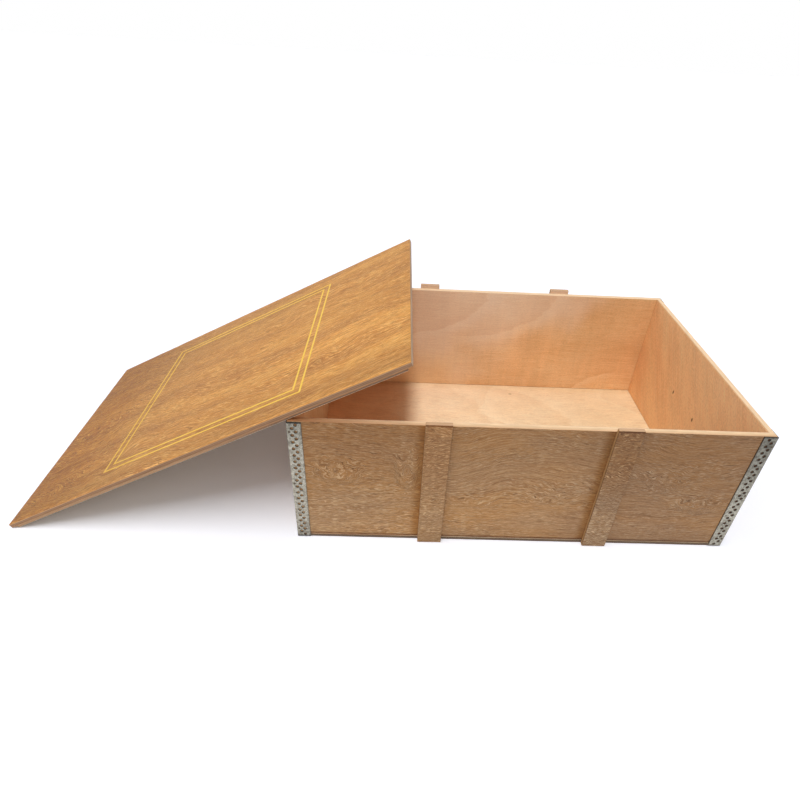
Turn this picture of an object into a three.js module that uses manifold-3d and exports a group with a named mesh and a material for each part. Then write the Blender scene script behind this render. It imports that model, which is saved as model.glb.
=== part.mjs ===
// A low plywood crate: a base, four walls, four upright battens and four perforated steel corner
// strips held by nails, with a loose lid that leans on the left wall, its foot on the floor.
// Millimetres, +Z up, +X along the front. The origin is the middle of the base's underside.
import * as THREE from "three";
import { mergeVertices } from "three/addons/utils/BufferGeometryUtils.js";
import Module from "manifold-3d";

const wasm = await Module();
wasm.setup();

// Carcass
const interiorLength = 600;
const interiorDepth = 400;
const interiorHeight = 200;
const wallThickness = 9;
const baseThickness = 5;

// Battens, whose middles are shares of the length from the middle of the front and the back
const battenWidth = 34;
const battenThickness = 7;
const battenRise = 6;
const frontBattenShares = [-0.197, 0.191];
const backBattenShares = [-0.193, 0.193];

// Perforated corner strips, whose rows of holes are shares of a face's width from the corner
const stripWidth = 18.5;
const stripThickness = 1;
const stripEndSetback = 1;
const bendSteps = 4;
const holeDiameter = 4;
const holeSides = 8;
const holePitch = 10.8;
const nearRowShare = 0.36;
const farRowShare = 0.61;

// Corner nails, from the corner as a share of the width, and up the strip as shares of its rows.
// Those in the end faces stand a hole higher or lower, to clear those in the front and the back.
const nailHeadDiameter = 3;
const nailHeadThickness = 0.5;
const nailShankDiameter = 1.6;
const nailPointLength = 2;
const nailBite = 4;
const nailSides = 6;
const nailShare = 0.175;
const nailLevelShares = [0.06, 0.5, 0.94];
const endNailSteps = [1, 1, -1];

// Lid, and the share of its length from its foot at which it rests on the wall
const lidThickness = 7;
const lidPlay = 0.5;
const lidOverhang = 2;
const linerThickness = 3;
const linerSideSetback = 1;
const linerEndSetback = 8;
const leanShare = 0.7223;

// Gap between pieces that rest on each other or pass through each other, and reach of a cut
const clearance = 0.3;
const cutOverrun = 2;

// Sizes that follow. The lid reaches past the strips at both ends, and drops between the battens'
// tops.
const cornerX = interiorLength / 2 + wallThickness;
const cornerY = interiorDepth / 2 + wallThickness;
const rimHeight = baseThickness + interiorHeight;
const stripLength = rimHeight - 2 * stripEndSetback;
const nailLength = stripThickness + wallThickness + nailBite;
const lidLength = 2 * (cornerX + stripThickness + lidOverhang);
const lidBreadth = 2 * (cornerY - lidPlay);

// The four corners, as the signs of X and Y
const corners = [
  { name: "front_left", signX: -1, signY: -1 },
  { name: "front_right", signX: 1, signY: -1 },
  { name: "back_left", signX: -1, signY: 1 },
  { name: "back_right", signX: 1, signY: 1 },
];

function stainedPlywood() {
  return new THREE.MeshStandardMaterial({ color: 0x9d7551, roughness: 0.7, metalness: 0 });
}

function barePlywood() {
  return new THREE.MeshStandardMaterial({ color: 0xe3b488, roughness: 0.75, metalness: 0 });
}

function goldenPlywood() {
  return new THREE.MeshStandardMaterial({ color: 0xc08e57, roughness: 0.6, metalness: 0 });
}

function zincSteel() {
  return new THREE.MeshStandardMaterial({ color: 0xa9aca6, roughness: 0.45, metalness: 0.9 });
}

function darkSteel() {
  return new THREE.MeshStandardMaterial({ color: 0x5a544c, roughness: 0.6, metalness: 0.8 });
}

function named(name, geometry, material) {
  const mesh = new THREE.Mesh(geometry, material);
  mesh.name = name;
  return mesh;
}

function toSolid(geometry) {
  const bare = geometry.clone();
  bare.deleteAttribute("normal");
  bare.deleteAttribute("uv");
  const merged = mergeVertices(bare);
  return new wasm.Manifold(
    new wasm.Mesh({
      numProp: 3,
      vertProperties: new Float32Array(merged.attributes.position.array),
      triVerts: new Uint32Array(merged.index.array),
    })
  );
}

function toGeometry(solid) {
  const mesh = solid.getMesh();
  const geometry = new THREE.BufferGeometry();
  geometry.setAttribute("position", new THREE.BufferAttribute(mesh.vertProperties, 3));
  geometry.setIndex(new THREE.BufferAttribute(mesh.triVerts, 1));
  const flat = geometry.toNonIndexed();
  flat.computeVertexNormals();
  return flat;
}

function cut(geometry, cutters) {
  const whole = toSolid(geometry);
  const solid = cutters.reduce((rest, cutter) => rest.subtract(toSolid(cutter)), whole);
  return toGeometry(solid);
}

// A box between two opposite corners, given as X, Y and Z.
function block(corner, opposite) {
  const points = [new THREE.Vector3(...corner), new THREE.Vector3(...opposite)];
  const box = new THREE.Box3().setFromPoints(points);
  const size = box.getSize(new THREE.Vector3());
  const middle = box.getCenter(new THREE.Vector3());
  return new THREE.BoxGeometry(size.x, size.y, size.z).translate(middle.x, middle.y, middle.z);
}

// The far row has a hole more than the near row, which is set half a pitch off it.
const farRowCount = Math.floor((stripLength - holeDiameter) / holePitch) + 1;

function holeHeight(index, count) {
  return stripLength / 2 + (index - (count - 1) / 2) * holePitch;
}

// Where each nail's head meets a strip, and its direction out of the wood. Nails stand level with
// holes of the far row. Those in a front or back face run along Y, those in an end face along X.
function nailPlaces() {
  const inset = nailShare * stripWidth;
  const places = [];
  for (const { name, signX, signY } of corners) {
    const faceX = signX * (cornerX + stripThickness);
    const faceY = signY * (cornerY + stripThickness);
    const sides = [
      { side: "face", x: faceX - signX * inset, y: faceY, out: new THREE.Vector3(0, signY, 0) },
      { side: "end", x: faceX, y: faceY - signY * inset, out: new THREE.Vector3(signX, 0, 0) },
    ];
    for (const { side, x, y, out } of sides) {
      nailLevelShares.forEach((share, index) => {
        const steps = side === "end" ? endNailSteps[index] : 0;
        const hole = Math.round(share * (farRowCount - 1)) + steps;
        const at = new THREE.Vector3(x, y, stripEndSetback + holeHeight(hole, farRowCount));
        places.push({ name: `nail_${name}_${side}_${index + 1}`, signX, signY, side, at, out });
      });
    }
  }
  return places;
}

// Turns a shape drawn along +Y, with the strip's surface at zero, to its place on the crate.
function driveIn(geometry, place) {
  const turn = new THREE.Quaternion().setFromUnitVectors(new THREE.Vector3(0, 1, 0), place.out);
  return geometry.applyQuaternion(turn).translate(place.at.x, place.at.y, place.at.z);
}

function nail(place) {
  const shank = nailShankDiameter / 2;
  const head = nailHeadDiameter / 2;
  const profile = [
    new THREE.Vector2(0, -nailLength),
    new THREE.Vector2(shank, nailPointLength - nailLength),
    new THREE.Vector2(shank, 0),
    new THREE.Vector2(head, 0),
    new THREE.Vector2(head, nailHeadThickness),
    new THREE.Vector2(0, nailHeadThickness),
  ];
  return named(place.name, driveIn(new THREE.LatheGeometry(profile, nailSides), place), darkSteel());
}

// The hole that a nail needs, from outside the strip to just past the nail's point.
function nailBore(place) {
  const radius = nailShankDiameter / 2 + clearance;
  const depth = nailLength + clearance;
  const bore = new THREE.CylinderGeometry(radius, radius, depth + cutOverrun, nailSides);
  bore.translate(0, (cutOverrun - depth) / 2, 0);
  return driveIn(bore, place);
}

function nailBores(test) {
  return nailPlaces().filter(test).map(nailBore);
}

function basePanel() {
  const panel = block([-cornerX, -cornerY, 0], [cornerX, cornerY, baseThickness]);
  return named("base_panel", panel, barePlywood());
}

// The front and back walls run the full length, and the end walls stand between them.
function longWall(name, sign) {
  const inner = (sign * interiorDepth) / 2;
  const panel = block([-cornerX, inner, baseThickness], [cornerX, sign * cornerY, rimHeight]);
  const bores = nailBores((place) => place.signY === sign);
  return named(name, cut(panel, bores), stainedPlywood());
}

function endWall(name, sign) {
  const inner = (sign * interiorLength) / 2;
  const halfDepth = interiorDepth / 2;
  const panel = block([inner, -halfDepth, baseThickness], [sign * cornerX, halfDepth, rimHeight]);
  const bores = nailBores((place) => place.signX === sign && place.side === "face");
  return named(name, cut(panel, bores), stainedPlywood());
}

function batten(name, middle, sign) {
  const half = battenWidth / 2;
  const outer = sign * (cornerY + battenThickness);
  const top = rimHeight + battenRise;
  const bar = block([middle - half, sign * cornerY, 0], [middle + half, outer, top]);
  return named(name, bar, stainedPlywood());
}

// The strip's L section seen from above. The wood's corner is at zero, the faces run back along
// -X and -Y, and the bend is round outside.
function stripSection() {
  const reach = stripWidth - stripThickness;
  const section = new THREE.Shape();
  section.moveTo(0, 0);
  section.lineTo(0, -reach);
  section.lineTo(stripThickness, -reach);
  section.lineTo(stripThickness, 0);
  section.absarc(0, 0, stripThickness, 0, Math.PI / 2, false);
  section.lineTo(-reach, stripThickness);
  section.lineTo(-reach, 0);
  return section;
}

// One hole through each face, at the same height and the same way from the corner.
function holePair(fromCorner, height) {
  const radius = holeDiameter / 2;
  const length = stripThickness + 2 * cutOverrun;
  const along = stripThickness - fromCorner;
  const through = stripThickness / 2;
  const face = new THREE.CylinderGeometry(radius, radius, length, holeSides);
  const end = face.clone().rotateZ(Math.PI / 2);
  return [face.translate(along, through, height), end.translate(through, along, height)];
}

function stripHoles() {
  const rows = [
    { share: farRowShare, count: farRowCount },
    { share: nearRowShare, count: farRowCount - 1 },
  ];
  const cutters = [];
  for (const { share, count } of rows) {
    for (let index = 0; index < count; index += 1) {
      cutters.push(...holePair(share * stripWidth, holeHeight(index, count)));
    }
  }
  return cutters;
}

function perforatedStrip() {
  const options = { depth: stripLength, bevelEnabled: false, curveSegments: bendSteps };
  return cut(new THREE.ExtrudeGeometry(stripSection(), options), stripHoles());
}

// Each strip is the same piece, turned onto its corner and then drilled for its nails.
function cornerStrip({ name, signX, signY }, perforated) {
  const placed = perforated.clone().rotateZ(Math.atan2(signY, signX) - Math.PI / 4);
  placed.translate(signX * cornerX, signY * cornerY, stripEndSetback);
  const bores = nailBores((place) => place.signX === signX && place.signY === signY);
  return named(`corner_strip_${name}`, cut(placed, bores), zincSteel());
}

function battenPair(end, shares, sign) {
  const [left, right] = shares.map((share) => share * 2 * cornerX);
  return [batten(`batten_${end}_left`, left, sign), batten(`batten_${end}_right`, right, sign)];
}

function carcass() {
  const group = new THREE.Group();
  group.add(basePanel());
  group.add(longWall("front_wall", -1), longWall("back_wall", 1));
  group.add(endWall("left_wall", -1), endWall("right_wall", 1));
  group.add(...battenPair("front", frontBattenShares, -1));
  group.add(...battenPair("back", backBattenShares, 1));
  const perforated = perforatedStrip();
  group.add(...corners.map((corner) => cornerStrip(corner, perforated)));
  group.add(...nailPlaces().map(nail));
  return group;
}

// The lid lies flat at first, with its foot at zero and its panel's underside at zero height.
function lidPanel() {
  const half = lidBreadth / 2;
  const panel = block([0, -half, 0], [lidLength, half, lidThickness]);
  return named("lid_panel", panel, goldenPlywood());
}

function lidLiner() {
  const half = lidBreadth / 2 - linerSideSetback;
  const end = lidLength - linerEndSetback;
  const sheet = block([linerEndSetback, -half, -clearance], [end, half, -clearance - linerThickness]);
  return named("lid_liner", sheet, barePlywood());
}

// The lid leans so that its liner just clears the left wall's top edge, a known way up from its
// foot, and its foot stands on the floor.
function leaningLid() {
  const rest = leanShare * lidLength;
  const drop = linerThickness + 2 * clearance;
  const tilt = Math.asin(rimHeight / Math.hypot(rest, drop)) + Math.atan2(drop, rest);
  const group = new THREE.Group();
  group.add(lidPanel(), lidLiner());
  group.rotation.y = -tilt;
  group.position.x = -cornerX - rest * Math.cos(tilt) - drop * Math.sin(tilt);
  return group;
}

const crate = new THREE.Group();
crate.add(carcass(), leaningLid());

export default crate;
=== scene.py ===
import math

import bmesh
import bpy
from mathutils import Matrix, Vector, noise


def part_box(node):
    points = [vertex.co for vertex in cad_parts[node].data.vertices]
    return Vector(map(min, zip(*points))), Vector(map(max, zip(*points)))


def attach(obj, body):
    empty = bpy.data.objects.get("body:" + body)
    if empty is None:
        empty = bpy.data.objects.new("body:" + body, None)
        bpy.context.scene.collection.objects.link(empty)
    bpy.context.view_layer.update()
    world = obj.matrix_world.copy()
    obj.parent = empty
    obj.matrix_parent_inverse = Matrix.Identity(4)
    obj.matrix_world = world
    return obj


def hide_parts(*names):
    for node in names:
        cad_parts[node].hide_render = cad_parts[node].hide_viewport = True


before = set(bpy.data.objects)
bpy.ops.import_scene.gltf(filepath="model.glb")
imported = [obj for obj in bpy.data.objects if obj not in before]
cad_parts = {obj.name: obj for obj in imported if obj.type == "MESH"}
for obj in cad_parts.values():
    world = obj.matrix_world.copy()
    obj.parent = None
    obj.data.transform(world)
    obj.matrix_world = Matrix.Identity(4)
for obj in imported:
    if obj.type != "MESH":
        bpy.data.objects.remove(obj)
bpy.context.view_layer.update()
scene = bpy.context.scene
print("crate: packed model loaded,", len(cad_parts), "nodes")


def paint(code):
    # "c99a6b" as a linear colour
    levels = [int(code[i:i + 2], 16) / 255 for i in (0, 2, 4)]
    return [v / 12.92 if v <= 0.04045 else ((v + 0.055) / 1.055) ** 2.4 for v in levels] + [1]


shading = {}  # holds the node tree that is being built


def startNodes(owner):
    # clears the nodes of a material or world, and builds on them from here
    owner.use_nodes = True
    owner.node_tree.nodes.clear()
    shading["nodes"] = owner.node_tree
    return owner


def newMaterial(name):
    return startNodes(bpy.data.materials.new(name))


def put(kind, inputs=None, **settings):
    # adds a shader node, and links or sets its inputs
    node = shading["nodes"].nodes.new("ShaderNode" + kind)
    for key, value in settings.items():
        setattr(node, key, value)
    for key, value in (inputs or {}).items():
        if isinstance(value, bpy.types.NodeSocket):
            shading["nodes"].links.new(value, node.inputs[key])
        else:
            node.inputs[key].default_value = value
    return node


def sums(operation, *values):
    return put("Math", dict(enumerate(values)), operation=operation).outputs[0]


def plus(first, second):
    return sums("ADD", first, second)


def minus(first, second):
    return sums("SUBTRACT", first, second)


def times(first, second):
    return sums("MULTIPLY", first, second)


def vectors(operation, first, second):
    return put("VectorMath", {0: first, 1: second}, operation=operation).outputs[0]


def lengthOf(vector):
    return put("VectorMath", {0: vector}, operation="LENGTH").outputs["Value"]


def parts(vector):
    # its x, y and z
    return put("SeparateXYZ", {0: vector}).outputs


def onPiece():
    # the place on the piece, in its own metres
    return put("TexCoord").outputs["Object"]


def farFrom(where, centre, scale):
    # distance from a centre, with each axis stretched by its own scale
    away = vectors("SUBTRACT", where, centre)
    return lengthOf(vectors("MULTIPLY", away, scale))


def between(value, low, high, start=0.0, end=1.0, kind="SMOOTHSTEP"):
    # runs from start to end as the value goes from low to high
    inputs = {"Value": value, "From Min": low, "From Max": high, "To Min": start, "To Max": end}
    return put("MapRange", inputs, interpolation_type=kind).outputs["Result"]


def blendColor(factor, first, second, mode="MIX"):
    inputs = {0: factor, 6: first, 7: second}
    return put("Mix", inputs, data_type="RGBA", blend_type=mode, clamp_factor=True).outputs[2]


def toned(color, amount, code):
    # mixes in a tone, as far as amount says
    return blendColor(amount, color, paint(code))


def washed(color, amount, code):
    # multiplies by a tone, as far as amount says
    return blendColor(amount, color, paint(code), "MULTIPLY")


def dimmed(color, red, others=None):
    # brightens or darkens by a number, red apart from green and blue where they differ
    others = red if others is None else others
    shade = put("CombineXYZ", {0: red, 1: others, 2: others}).outputs[0]
    return blendColor(1.0, color, shade, "MULTIPLY")


def washes(color, tones):
    # washes of (tone, (axis, none from, full at, kind of fade), more axes that limit it) on the piece
    place = parts(onPiece())
    for code, *spans in tones:
        amount = None
        for axis, start, end, *kind in spans:
            fade = between(place["xyz".index(axis)], start, end, 0.0, 1.0, *kind)
            amount = fade if amount is None else times(amount, fade)
        color = washed(color, amount, code)
    return color


def rampOf(value, stops, kind="LINEAR"):
    node = put("ValToRGB", {"Fac": value})
    node.color_ramp.interpolation = kind
    elements = node.color_ramp.elements
    while len(elements) < len(stops):
        elements.new(0.5)
    for element, (place, code) in zip(elements, stops):
        element.position = place
        element.color = paint(code)
    return node.outputs["Color"]


def cloud(where, stretch, detail=2.0, roughness=0.5):
    # noise with a feature size of one over stretch, along each of the grain's three ways
    inputs = {"Vector": vectors("MULTIPLY", where, stretch), "Scale": 1.0, "Detail": detail,
              "Roughness": roughness}
    return put("TexNoise", inputs).outputs["Fac"]


def swing(where, stretch, detail=2.0, roughness=0.5):
    # the same noise about zero
    return minus(cloud(where, stretch, detail, roughness), 0.5)


def grainSpace(axes, shift=(0, 0, 0)):
    # x runs along the grain, y across it and z into the sheet, in metres
    place = parts(onPiece())
    turned = put("CombineXYZ", {i: place[axis] for i, axis in enumerate(axes)}).outputs[0]
    return vectors("ADD", turned, shift)


def bent(where, amount):
    # moves the pattern across the grain by a field of metres
    push = put("CombineXYZ", {1: amount}).outputs[0]
    return vectors("ADD", where, push)


def finishWith(material, color, roughness, height, relief, metallic=0.0, gloss=0.5):
    bump = put("Bump", {"Height": height, "Strength": 1.0, "Distance": relief})
    shader = put("BsdfPrincipled", {
        "Base Color": color, "Roughness": roughness, "Metallic": metallic, "Specular IOR Level": gloss,
        "Normal": bump.outputs["Normal"],
    })
    put("OutputMaterial", {"Surface": shader.outputs["BSDF"]})
    return material


def marks(flow, grain, kind, amount, fine=1.0):
    # short dashes along the grain, pale flecks or dark pores
    field = cloud(flow, [fine * v for v in grain[kind]], 2, 0.6)
    return times(between(field, *grain[kind + "Span"]), amount)


def veneered(material, color, grain, fibre, fleck, pore):
    # satin where the fibre is high, with pale flecks standing up and dark pores sunk in
    height = minus(plus(fleck, times(fibre, 0.5)), pore)
    shine = between(fibre, *grain["shine"], "LINEAR")
    return finishWith(material, color, shine, height, grain["relief"], gloss=grain["gloss"])


# The dictionaries called grain hold noise scales along the grain, across it and into the sheet, how
# far in metres a field bends the lines, and spans: where in the noise a mark starts, where it is
# full, and its least and most strength.

burrGrain = {
    "wobble": (55, 80, 20), "wobbleBy": 1.5, "ringHeight": 1.1, "closed": (1.6, 0.3, 0.0, 0.7),
    "near": (3.2, 1.2),
}

stainLook = {
    "warm": "b98752", "cool": "b2875d", "dark": "8a623c", "light": "cda97c",
    "fleck": "e2c299", "pore": "65452c", "calm": 0.35, "lively": 0.75, "fine": 1.0,
}
stainGrain = {
    "sway": (6, 12, 4), "busy": (11, 26, 9), "ripple": (75, 110, 30), "patch": (7, 17, 7),
    "bands": (16, 210, 16), "thread": (20, 700, 20), "fleck": (100, 1120, 100), "pore": (85, 1020, 85),
    "fibre": (300, 2600, 300), "swayBy": 0.05, "rippleBy": 0.008, "relief": 0.0002, "gloss": 0.35,
    "busySpan": (0.42, 0.66), "patchSpan": (0.36, 0.62),
    "bandDark": (0.5, 0.3, 0, 0.32), "bandLight": (0.52, 0.72, 0, 0.22),
    "threadDark": (0.5, 0.3, 0, 0.6), "threadLight": (0.5, 0.7, 0, 0.55),
    "fleckSpan": (0.49, 0.66, 0, 1.0), "poreSpan": (0.5, 0.32, 0, 0.85),
    "shade": (0.3, 0.7, 0.86, 1.14), "shine": (0.3, 0.7, 0.74, 0.55),
}


def curled(home, curls, grain=burrGrain):
    # the grain closes into rings round small burrs, each at (along, across, half length, half height,
    # liveliness); gives how far it moves across, and how lively the figure is there
    across = parts(home)[1]
    moved, lively = across, None
    wobble = swing(home, grain["wobble"], 3, 0.6)
    for along, middle, halfLength, halfHeight, most in curls:
        far = farFrom(home, (along, middle, 0), (1 / halfLength, 1 / halfHeight, 0))
        far = plus(far, times(wobble, grain["wobbleBy"]))
        ring = plus(middle, times(far, grain["ringHeight"] * halfHeight))
        inside = between(far, *grain["closed"])
        moved = plus(moved, times(minus(ring, moved), inside))
        near = between(far, *grain["near"], 0.0, most)
        lively = near if lively is None else sums("MAXIMUM", lively, near)
    return minus(moved, across), lively


def stainedVeneer(name, axes, shift, curls=(), tint=None, look=stainLook, climb=None, livelyEnd=None):
    # fine dark lines and pale dashes in a grain that sways, liveliest round its few burrs
    material = newMaterial(name)
    grain = stainGrain
    where = grainSpace(axes, shift)
    home = grainSpace(axes)
    push = times(swing(where, grain["sway"]), grain["swayBy"])
    busy = between(cloud(where, grain["busy"]), *grain["busySpan"], look["calm"], look["lively"])
    if curls:
        swirl, lively = curled(home, curls)
        push = plus(push, swirl)
        busy = sums("MAXIMUM", busy, lively)
    split = parts(home)
    if climb:
        # the lines rise by so much from one place to the next and sink again, fully so above a height
        start, top, end, low, high, rise = climb
        lift = between(split[0], start, top, 0.0, rise)
        lift = times(lift, between(split[1], low, high))
        lift = times(lift, between(split[0], end, top))
        push = minus(push, lift)
    if livelyEnd:
        start, end, most = livelyEnd
        busy = sums("MAXIMUM", busy, between(split[0], start, end, 0.0, most))
    ripple = times(swing(where, grain["ripple"], 1), times(busy, grain["rippleBy"]))
    flow = bent(where, plus(push, ripple))
    patch = between(cloud(where, grain["patch"]), *grain["patchSpan"])
    color = blendColor(patch, paint(look["warm"]), paint(look["cool"]))
    bands = cloud(flow, grain["bands"], 3, 0.6)
    color = toned(color, between(bands, *grain["bandDark"]), look["dark"])
    color = toned(color, between(bands, *grain["bandLight"]), look["light"])
    thread = cloud(flow, grain["thread"], 2, 0.6)
    color = toned(color, between(thread, *grain["threadDark"]), look["dark"])
    color = toned(color, between(thread, *grain["threadLight"]), look["light"])
    fleck = marks(flow, grain, "fleck", busy, look["fine"])
    pore = marks(flow, grain, "pore", busy, look["fine"])
    color = toned(color, pore, look["pore"])
    color = toned(color, fleck, look["fleck"])
    fibre = cloud(flow, grain["fibre"], 2, 0.6)
    color = dimmed(color, between(fibre, *grain["shade"], "LINEAR"))
    if tint:
        color = tint(color)
    return veneered(material, color, grain, fibre, fleck, pore)


lidLook = {
    "dark": "b27533", "middle": "c58439", "light": "d29345", "fleck": "efbd70", "pore": "7f4d19",
    "tones": (0.38, 0.5, 0.61), "footTone": "f8e6a8",
}
lidGrain = {
    "sway": (4, 7, 2), "ripple": (22, 30, 2), "curl": (70, 105, 30), "broad": (2.6, 26, 2),
    "bands": (12, 150, 5), "thread": (26, 640, 26), "fleck": (95, 1120, 95), "pore": (85, 1020, 85),
    "fibre": (300, 2600, 300), "swayBy": 0.11, "rippleBy": 0.012, "wornBy": 0.003, "relief": 0.0002,
    "gloss": 0.3, "broadShare": 0.85, "bandShare": 0.15,
    "threadDark": (0.5, 0.3, 0, 0.35), "threadLight": (0.5, 0.7, 0, 0.4),
    "fleckSpan": (0.5, 0.68, 0, 0.75), "poreSpan": (0.5, 0.32, 0, 0.6),
    "shade": (0.3, 0.7, 0.92, 1.08), "shine": (0.3, 0.7, 0.62, 0.45),
}
# along the lid from its foot, or across it from its middle, in metres, and the level there
lidShade = {
    "curl": (0.24, 0.1, 0.0, 0.008), "marks": (0.28, 0.1, 1.0, 1.35), "foot": (0.0, 0.30, 0.68, 1.0),
    "nearSide": (-0.2, -0.11, 0.84, 1.0), "farSide": (0.03, 0.12), "farUpTo": (0.5, 0.36), "farBy": 0.12,
    "brightSide": (0.06, -0.06), "brightFrom": (0.36, 0.5), "brightBy": 0.12, "footTone": (0.2, 0.03),
    "rub": (-0.197, -0.204, 0.0, 0.14), "rubUpTo": (0.32, 0.22), "worn": (-0.2035, -0.2065, 1.0, 1.26),
}


def goldenVeneer(name, axes, shift):
    # long satin bands that wave along the lid, with fine fibre and pale dashes; darker at its foot
    material = newMaterial(name)
    look, grain, shade = lidLook, lidGrain, lidShade
    where = grainSpace(axes, shift)
    along, across = parts(grainSpace(axes))[:2]
    ripple = swing(where, grain["ripple"], 1)
    push = times(swing(where, grain["sway"]), grain["swayBy"])
    push = plus(push, times(ripple, grain["rippleBy"]))
    curl = times(swing(where, grain["curl"], 1), between(along, *shade["curl"]))
    flow = bent(where, plus(push, curl))
    broad = times(cloud(flow, grain["broad"]), grain["broadShare"])
    bands = times(cloud(flow, grain["bands"], 3, 0.6), grain["bandShare"])
    stops = zip(look["tones"], (look["dark"], look["middle"], look["light"]))
    color = rampOf(plus(broad, bands), list(stops))
    thread = cloud(flow, grain["thread"], 2, 0.6)
    color = toned(color, between(thread, *grain["threadDark"]), look["pore"])
    color = toned(color, between(thread, *grain["threadLight"]), look["fleck"])
    more = between(along, *shade["marks"])
    fleck = marks(flow, grain, "fleck", more)
    color = toned(color, fleck, look["fleck"])
    pore = marks(flow, grain, "pore", more)
    color = toned(color, pore, look["pore"])
    fibre = cloud(flow, grain["fibre"], 2, 0.6)
    level = times(between(along, *shade["foot"]), between(across, *shade["nearSide"]))
    far = times(between(across, *shade["farSide"]), between(along, *shade["farUpTo"]))
    level = times(level, minus(1.0, times(far, shade["farBy"])))
    bright = times(between(across, *shade["brightSide"]), between(along, *shade["brightFrom"]))
    level = times(level, plus(1.0, times(bright, shade["brightBy"])))
    # the near edge is worn paler, further in at the foot
    worn = plus(across, times(ripple, grain["wornBy"]))
    rub = times(between(worn, *shade["rub"]), between(along, *shade["rubUpTo"]))
    level = times(level, plus(rub, between(worn, *shade["worn"])))
    level = times(level, between(fibre, *grain["shade"], "LINEAR"))
    color = dimmed(color, level)
    color = washed(color, between(along, *shade["footTone"]), look["footTone"])
    return veneered(material, color, grain, fibre, fleck, pore)


bareLook = {
    "deep": "dfb68c", "middle": "e7c49d", "pale": "edd0ac", "line": "cd9c70", "arc": "f3dcbc",
    "knot": "55301c", "tones": (0.36, 0.5, 0.64), "lean": 0.0, "arcs": 0.4, "grit": 0.07,
    "chatter": 0.0, "mottle": 0.0, "slice": 1.0,
}
bareGrain = {
    "sway": (3, 6, 3), "patches": (6, 12, 6), "fibre": (22, 420, 22), "pore": (60, 800, 60),
    "rings": (2.2, 6.5, 2.2), "grit": (300, 650, 300), "chatter": (55, 7, 7), "mottle": (26, 36, 26),
    "slice": (22, 60, 22), "swayBy": 0.06, "sliceBy": 0.2, "ringCount": 7.0, "ringFray": 0.05,
    "relief": 0.0003, "gloss": 0.35, "poreSpan": (0.46, 0.3, 0, 0.4), "shine": (0.3, 0.7, 0.68, 0.52),
    "slicePale": (0.22, 0.02, 0.0, 0.38), "slicePaleFrom": (-0.006, 0.016),
    "sliceDark": (-0.2, -0.01, 0.0, 0.22), "sliceDarkFrom": (0.006, -0.012), "sliceFade": (0.02, 0.07),
    "gritSpan": (0.3, 0.7), "mottleSpan": (0.35, 0.65), "speckEdge": (0.4, 1.0),
    "arcPower": 6.0, "arcFoot": (0.35, 0.0), "footShare": 0.5,
}


def sliced(color, where, arc, look):
    # one quarter of a growth ring, pale on one side and dark on the other
    grain = bareGrain
    x, z, halfWidth, halfHeight, side = arc
    far = farFrom(where, (x, z, 0), (1 / halfWidth, 1 / halfHeight, 0))
    drift = swing(where, grain["slice"], 4, 0.65)
    far = plus(minus(far, 1.0), times(drift, grain["sliceBy"]))
    far = times(far, side)
    along = sums("ABSOLUTE", minus(parts(where)[0], x))
    shown = between(along, *grain["sliceFade"], 0.0, look["slice"])
    pale = times(between(far, *grain["slicePale"]), between(far, *grain["slicePaleFrom"]))
    dark = times(between(far, *grain["sliceDark"]), between(far, *grain["sliceDarkFrom"]))
    color = toned(color, times(pale, shown), look["arc"])
    return toned(color, times(dark, shown), look["line"])


def mottled(field, span, amount):
    # brightness that follows a noise field, by amount either way
    return between(field, *span, 1 - amount, 1 + amount, "LINEAR")


def bareVeneer(name, axes, shift, specks=(), look=bareLook, tint=None, slices=()):
    # sanded birch: clouds of warm tone, close fibre, a few pale arcs and the odd pin knot
    material = newMaterial(name)
    grain = bareGrain
    where = grainSpace(axes, shift)
    if look["lean"]:
        where = bent(where, times(parts(where)[0], look["lean"]))
    flow = bent(where, times(swing(where, grain["sway"]), grain["swayBy"]))
    patches = cloud(where, grain["patches"], 3)
    fibre = cloud(flow, grain["fibre"], 3, 0.65)
    mixed = plus(times(patches, 0.5), times(fibre, 0.5))
    stops = zip(look["tones"], (look["deep"], look["middle"], look["pale"]))
    color = rampOf(mixed, list(stops))
    pore = between(cloud(flow, grain["pore"], 1), *grain["poreSpan"])
    color = toned(color, pore, look["line"])
    rings = times(cloud(where, grain["rings"], 1, 0.35), grain["ringCount"])
    saw = sums("FRACT", plus(rings, times(fibre, grain["ringFray"])))
    crest = between(sums("POWER", saw, grain["arcPower"]), 0.0, 1.0, 0.0, look["arcs"], "LINEAR")
    color = toned(color, crest, look["arc"])
    foot = between(saw, *grain["arcFoot"], 0.0, grain["footShare"] * look["arcs"])
    color = toned(color, foot, look["deep"])
    for arc in slices:
        color = sliced(color, grainSpace(axes), arc, look)
    for centre, reach, depth in specks:
        far = farFrom(onPiece(), centre, [1 / r for r in reach])
        color = toned(color, between(far, *grain["speckEdge"], depth, 0.0), look["knot"])
    level = mottled(cloud(where, grain["grit"], 2, 0.6), grain["gritSpan"], look["grit"])
    for key, place in (("chatter", flow), ("mottle", where)):
        if look[key]:
            field = cloud(place, grain[key], 3, 0.6)
            level = times(level, mottled(field, grain["mottleSpan"], look[key]))
    color = dimmed(color, level)
    if tint:
        color = tint(color)
    shine = between(fibre, *grain["shine"], "LINEAR")
    return finishWith(material, color, shine, mixed, grain["relief"], gloss=grain["gloss"])


edgeGrain = {
    "wave": (22, 22, 22), "waveBy": 0.07, "torn": (45, 900, 900), "relief": 0.0008,
    "shade": (0.3, 0.7, 0.84, 1.12), "shine": (0.3, 0.7, 0.85, 0.7),
}


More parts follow.
